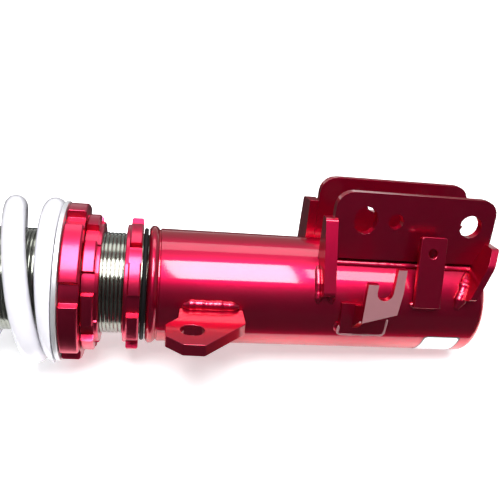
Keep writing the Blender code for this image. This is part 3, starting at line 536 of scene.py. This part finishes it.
def spring_piece():
    """Round wire with closed ends, ground flat where they sit."""
    bm = bmesh.new()
    rings = []
    steps, around = int(TURNS * 64), 28
    start = radians(-150.15)
    lowest, highest = SPRING_LOW + 0.05, SPRING_LOW + SPRING_LENGTH - 0.05

    def centre(turn):
        angle = start + 2 * pi * turn
        return Vector((COIL_R * cos(angle), COIL_R * sin(angle), SPRING_LOW + spring_height(turn)))

    for i in range(steps + 1):
        turn = TURNS * i / steps
        here = centre(turn)
        tangent = (centre(min(TURNS, turn + 0.004)) - centre(max(0.0, turn - 0.004))).normalized()
        radial = Vector((here.x, here.y, 0.0)).normalized()
        rise = tangent.cross(radial).normalized()
        ease = 0.5 if i in (0, steps) else 0.0
        ring = []
        for k in range(around):
            a = 2 * pi * k / around
            point = here + (radial * cos(a) + rise * sin(a)) * (WIRE_R - ease)
            point.z = min(max(point.z, lowest), highest)
            ring.append(bm.verts.new(point))
        rings.append(ring)
    close_tube(bm, rings)
    spring = settle("coil spring", bm, "white_powder_coat", "perch_washer", ("coil_spring",), sharp=50.0)
    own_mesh(spring)


# ---- damper -------------------------------------------------------------
def damper_pieces():
    """Threaded body, gland nut and wiper; the body's thread is cut where it can be seen."""
    core = THREAD_R - 0.6
    body = lathe([(23.0, BODY_LOW), (core, BODY_LOW), (core, BODY_HIGH), (23.0, BODY_HIGH)], 96)
    screw_thread(body, THREAD_R, THREAD_PITCH, 0.6, 136.0, BODY_HIGH)
    settle("damper body", body, "nickel_plate", "damper", ("damper_body",), sharp=80.0)
    gland = [(17.0, 282.3), (22.7, 282.3), (22.7, 290.3), (25.9, 290.3), (26.4, 290.8), (26.4, 294.0),
             (25.6, 295.0), (17.6, 295.0), (17.0, 294.4)]
    settle("gland nut", lathe(gland), "red_anodised", "damper", ("gland_nut",), sharp=30.0)
    wiper = [(11.2, 283.0), (16.6, 283.0), (16.6, 295.4), (15.6, 296.2), (14.2, 296.5), (12.6, 297.4),
             (11.2, 297.1)]
    settle("rod wiper", lathe(wiper, 96), "black_rubber", "damper", ("rod_wiper",), sharp=30.0)


def rod_pieces():
    """Piston rod, bump stop and folded dust boot."""
    rod = [(3.6, 212.0), (5.8, 212.0), (6.0, 212.4), (6.0, 246.0), (ROD_R - 0.4, 246.0), (ROD_R, 246.6),
           (ROD_R, 413.4), (ROD_R - 0.6, 414.0), (6.3, 414.0), (6.3, 487.4), (5.8, 488.0), (3.6, 488.0)]
    bm = lathe(rod, 96)
    screw_thread(bm, 7.0, 1.25, 0.75, 414.2, 487.6, 48)
    settle("piston rod", bm, "hard_chrome", "rod", ("piston_rod",), sharp=60.0)
    foam_low, foam_high = 370.0, 411.0
    lobes = [(17.5 + 4.0 * sin(pi * 3 * i / 36) ** 2, foam_low + (foam_high - foam_low) * i / 36)
             for i in range(37)]
    settle("bump stop", lathe([(11.6, foam_low)] + lobes + [(11.6, foam_high)], 96), "bump_foam", "rod",
           ("bump_stop",))
    low, high, folds, wall = 300.5, 407.0, 9, 1.1
    outer = [(26.6 - 1.6 * cos(2 * pi * folds * i / 144), low + (high - low) * i / 144)
             for i in range(145)]
    inner = [(radius - wall, height) for radius, height in reversed(outer)]
    boot = settle("dust boot", lathe(outer + inner, 96), "black_rubber", "rod", ("dust_boot",),
                  sharp=60.0)
    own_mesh(boot)


# ---- top mount ----------------------------------------------------------
def seat_pieces():
    """Upper spring seat with what is stacked over it on the rod, up to the adjuster knob."""
    settle("upper spring washer", lathe(band(31.2, 41.5, 418.3, 420.2)), "bright_steel", "rod",
           ("upper_spring_washer",), sharp=30.0)
    seat = [
        (7.4, 414.3), (12.0, 414.3), (12.0, 420.5), (28.6, 420.5), (28.6, 408.4), (29.0, 408.0),
        (30.0, 408.0), (30.6, 408.8), (30.8, 420.5), (43.3, 420.5), (44.0, 421.2), (44.0, 425.8),
        (42.6, 427.0), (24.0, 427.0), (20.0, 427.4), (13.6, 429.0), (7.4, 429.0),
    ]
    settle("upper spring seat", lathe(seat), "red_anodised", "rod", ("upper_spring_seat",), sharp=30.0)
    lower = [(7.4, 429.3), (12.1, 429.3), (12.5, 429.7), (12.5, 432.0), (9.4, 436.0), (9.4, 440.4),
             (9.1, 440.7), (7.4, 440.7)]
    settle("lower ball spacer", lathe(lower, 96), "bright_steel", "rod", ("lower_ball_spacer",))
    upper = [(7.4, 463.3), (9.1, 463.3), (9.4, 463.6), (9.4, 468.0), (12.0, 470.0), (12.0, 471.7),
             (11.7, 472.0), (7.4, 472.0)]
    settle("upper ball spacer", lathe(upper, 96), "bright_steel", "rod", ("upper_ball_spacer",))
    nut = hex_prism(10.5, 472.3, 483.0, 7.3)
    settle("rod top nut", nut, "black_zinc", "rod", ("rod_top_nut",), sharp=25.0)
    knob_piece()


def knob_piece():
    """Knurled damping adjuster knob, open underneath for the adjuster needle."""
    knob = bmesh.new()
    around = 96
    grooved = ((2.9, 488.4, 0.0), (8.2, 488.4, 0.0), (8.8, 489.0, 0.0), (8.9, 489.4, 0.35),
               (8.9, 500.6, 0.35), (8.8, 501.2, 0.0), (8.0, 503.0, 0.0), (3.0, 503.0, 0.0))
    rings = []
    for radius, height, depth in grooved:
        ring = []
        for k in range(around):
            a = 2 * pi * k / around
            r = radius - (depth if k % 2 else 0.0)
            ring.append(knob.verts.new((r * cos(a), r * sin(a), height)))
        rings.append(ring)
    rings.append([knob.verts.new((0.0, 0.0, 502.6))])
    rings.append([knob.verts.new((0.0, 0.0, 495.0))])
    rings.append([knob.verts.new((2.9 * cos(2 * pi * k / around), 2.9 * sin(2 * pi * k / around), 495.0))
                  for k in range(around)])
    skin(knob, rings, closed_path=True)
    settle("damping adjuster knob", knob, "red_anodised", "knob", ("damping_adjuster_knob",), sharp=30.0)


def mount_pieces():
    """Pillow ball, its sliding housing, the top plate and their fasteners."""
    face = 11.0                                             # flat face above and below its centre
    lean = asin(face / BALL_R)
    ball = arc(0.0, BALL_H, BALL_R, -lean, lean, 24) + [(7.4, BALL_H + face), (7.4, BALL_H - face)]
    settle("pillow ball", lathe(ball, 96), "hard_chrome", "rod", ("pillow_ball",), MOUNT, sharp=30.0)
    softened("bearing_housing", "red_anodised", "slider", 0.3)
    softened("top_plate", "red_anodised", "plate", 0.9)
    corners = [(sx * CLAMP_X, sy * CLAMP_Y) for sx in (-1, 1) for sy in (-1, 1)]
    for index, (x, y) in enumerate(corners, 1):
        head = [(0.0, 448.0), (2.6, 448.0), (3.0, 448.4), (3.0, 461.3), (5.0, 461.3), (5.2, 461.5),
                (5.2, 466.4), (4.7, 467.0), (2.9, 467.0), (2.6, 466.6), (2.6, 464.0), (0.0, 463.6)]
        bolt = lathe(head, 48)
        bmesh.ops.translate(bolt, vec=(x, y, 0.0), verts=bolt.verts[:])
        settle(f"clamp bolt {index}", bolt, "black_zinc", "slider", (f"clamp_bolt_{index}",), MOUNT,
               sharp=30.0)
    for index, turn in enumerate(STUD_TURNS, 1):
        x, y = STUD_CIRCLE_R * cos(radians(turn)), STUD_CIRCLE_R * sin(radians(turn))
        stud = lathe([(0.0, 451.0), (6.6, 451.0), (7.0, 451.4), (7.0, 454.7), (4.0, 454.7), (4.0, 463.0),
                      (3.5, 463.4), (3.5, 482.0), (2.9, 483.0), (0.0, 483.0)], 48)
        screw_thread(stud, 4.0, 1.25, 0.7, 462.5, 482.4, 36)
        bmesh.ops.translate(stud, vec=(x, y, 0.0), verts=stud.verts[:])
        settle(f"body stud {index}", stud, "bright_steel", "plate", (f"body_stud_{index}",), MOUNT)
        nut = hex_prism(6.5, 472.0, 480.0, 4.2, (x, y))
        settle(f"stud nut {index}", nut, "black_zinc", "plate", (f"stud_nut_{index}",), MOUNT,
               sharp=25.0)


# ---- studio -------------------------------------------------------------
FLOOR_Z = -29.7 * MM


def stage_pieces():
    """Pale floor, and the dark cards that the part reflects."""
    bm = bmesh.new()
    around = 64
    rings = [[bm.verts.new((0.0, 0.0, FLOOR_Z))]]
    for radius in (1.0, 3.0, 8.0):
        ring = []
        for k in range(around):
            a = 2 * pi * k / around
            ring.append(bm.verts.new((radius * cos(a), radius * sin(a), FLOOR_Z)))
        rings.append(ring)
    skin(bm, rings, closed_path=False)
    bmesh.ops.recalc_face_normals(bm, faces=bm.faces[:])
    for face in bm.faces:
        if face.normal.z < 0:
            face.normal_flip()
    mesh = bpy.data.meshes.new("studio sweep")
    bm.to_mesh(mesh)
    bm.free()
    mesh.shade_smooth()
    mesh.materials.append(node_material("studio sweep", (0.92, 0.92, 0.925), 0.8, 0.0, glow=0.55))
    sweep = bpy.data.objects.new("studio sweep", mesh)
    bpy.context.collection.objects.link(sweep)
    low = FLOOR_Z + 0.0008
    dark_card("front", [(-0.045, low), (-0.60, low), (-0.72, 0.62)])
    dark_card("rear", [(0.050, low), (0.75, low)])


def dark_card(word, outline):
    """Black card beside the part: (y, z) outline swept along X, seen in reflections only."""
    card = bpy.data.meshes.new(f"{word} dark card")
    count = len(outline)
    left, right = -1.6, 1.3
    card.from_pydata([(x, y, z) for x in (left, right) for y, z in outline], [],
                     [(k, k + 1, count + k + 1, count + k) for k in range(count - 1)])
    card.materials.append(node_material(f"{word} dark card", (0.02, 0.02, 0.022), 0.9, 0.0))
    screen = bpy.data.objects.new(f"{word} dark card", card)
    bpy.context.collection.objects.link(screen)
    screen.visible_camera = False
    screen.visible_diffuse = False
    screen.visible_shadow = False


def from_view(azimuth_x, elevation):
    """Unit vector: elevation in the plane across the strut, from the camera's side, leaned along X."""
    return Vector((azimuth_x, -cos(radians(elevation)), sin(radians(elevation)))).normalized()


def soft_light(name, target, direction, distance, width, depth, power):
    """Rectangular panel that faces its target from a direction."""
    data = bpy.data.lights.new(name, 'AREA')
    data.shape = 'RECTANGLE'
    data.size = width
    data.size_y = depth
    data.energy = power
    light = bpy.data.objects.new(name, data)
    bpy.context.collection.objects.link(light)
    spot = Vector(target) + direction * distance
    away = direction.normalized()
    side = Vector((1.0, 0.0, 0.0))
    side = (side - away * side.dot(away)).normalized()
    up = away.cross(side)
    light.matrix_world = Matrix.Translation(spot) @ Matrix((side, up, away)).transposed().to_4x4()


def world_light():
    """Pale room that is darker low down on the camera's side."""
    world = bpy.data.worlds.new("studio room")
    bpy.context.scene.world = world
    world.use_nodes = True
    tree = world.node_tree
    background = tree.nodes["Background"]
    coords = tree.nodes.new("ShaderNodeTexCoord")
    facing = tree.nodes.new("ShaderNodeVectorMath")
    facing.operation = 'DOT_PRODUCT'
    facing.inputs[1].default_value = from_view(0.0, 22.0)
    tree.links.new(coords.outputs["Generated"], facing.inputs[0])
    fall = tree.nodes.new("ShaderNodeMapRange")
    fall.interpolation_type = 'SMOOTHSTEP'
    fall.inputs["From Min"].default_value = 0.80
    fall.inputs["From Max"].default_value = 0.30
    fall.inputs["To Min"].default_value = 0.03
    fall.inputs["To Max"].default_value = 0.42
    tree.links.new(facing.outputs["Value"], fall.inputs["Value"])
    path = tree.nodes.new("ShaderNodeLightPath")
    strength = tree.nodes.new("ShaderNodeMix")
    strength.data_type = 'FLOAT'
    strength.inputs["B"].default_value = 0.95
    tree.links.new(path.outputs["Is Camera Ray"], strength.inputs["Factor"])
    tree.links.new(fall.outputs["Result"], strength.inputs["A"])
    tree.links.new(strength.outputs["Result"], background.inputs["Strength"])
    background.inputs["Color"].default_value = (0.97, 0.98, 1.0, 1.0)


def camera_piece():
    """Camera close to the bracket, looking down at 40 degrees and turned a little off square."""
    lift = radians(40.0)
    along = Vector((cos(PITCH), 0.0, -sin(PITCH)))
    square = Vector((sin(PITCH), 0.0, cos(PITCH)))
    sideways = Vector((0.0, 1.0, 0.0))
    away = sideways * cos(lift) - square * sin(lift)
    over = sideways * sin(lift) + square * cos(lift)
    to_row = Matrix((along, away, over)).transposed()
    turn = Vector((-0.058, 0.049, 0.163))                   # its axis times the angle in radians
    rotation = Matrix.Rotation(turn.length, 3, turn.normalized())
    right, forward, up = (to_row @ Vector(rotation[i]) for i in range(3))
    place = to_row @ Vector((-0.179286, -0.335393, 0.0))    # metres along the strut, and in front
    data = bpy.data.cameras.new("camera")
    data.sensor_width = 36.0
    data.lens = 44.53
    data.clip_start = 0.01
    camera = bpy.data.objects.new("camera", data)
    bpy.context.collection.objects.link(camera)
    camera.matrix_world = Matrix.Translation(place) @ Matrix((right, up, -forward)).transposed().to_4x4()
    bpy.context.scene.camera = camera


finish_cad_nodes()
bracket_pieces()
weld_pieces()
label_piece()
ring_pieces()
spring_piece()
damper_pieces()
rod_pieces()
seat_pieces()
mount_pieces()
stage_pieces()
soft_light("overhead softbox", (-0.20, 0.0, 0.0), from_view(0.0, 72.0), 1.1, 0.45, 0.70, 16.0)
soft_light("far softbox", (-0.05, 0.0, 0.0), from_view(0.30, 74.0), 1.1, 0.40, 0.35, 4.0)
soft_light("rear panel", (-0.15, 0.0, 0.0), from_view(0.1, 125.0), 1.6, 1.6, 0.6, 7.0)
world_light()
camera_piece()
scene = bpy.context.scene
scene.view_settings.view_transform = 'Standard'
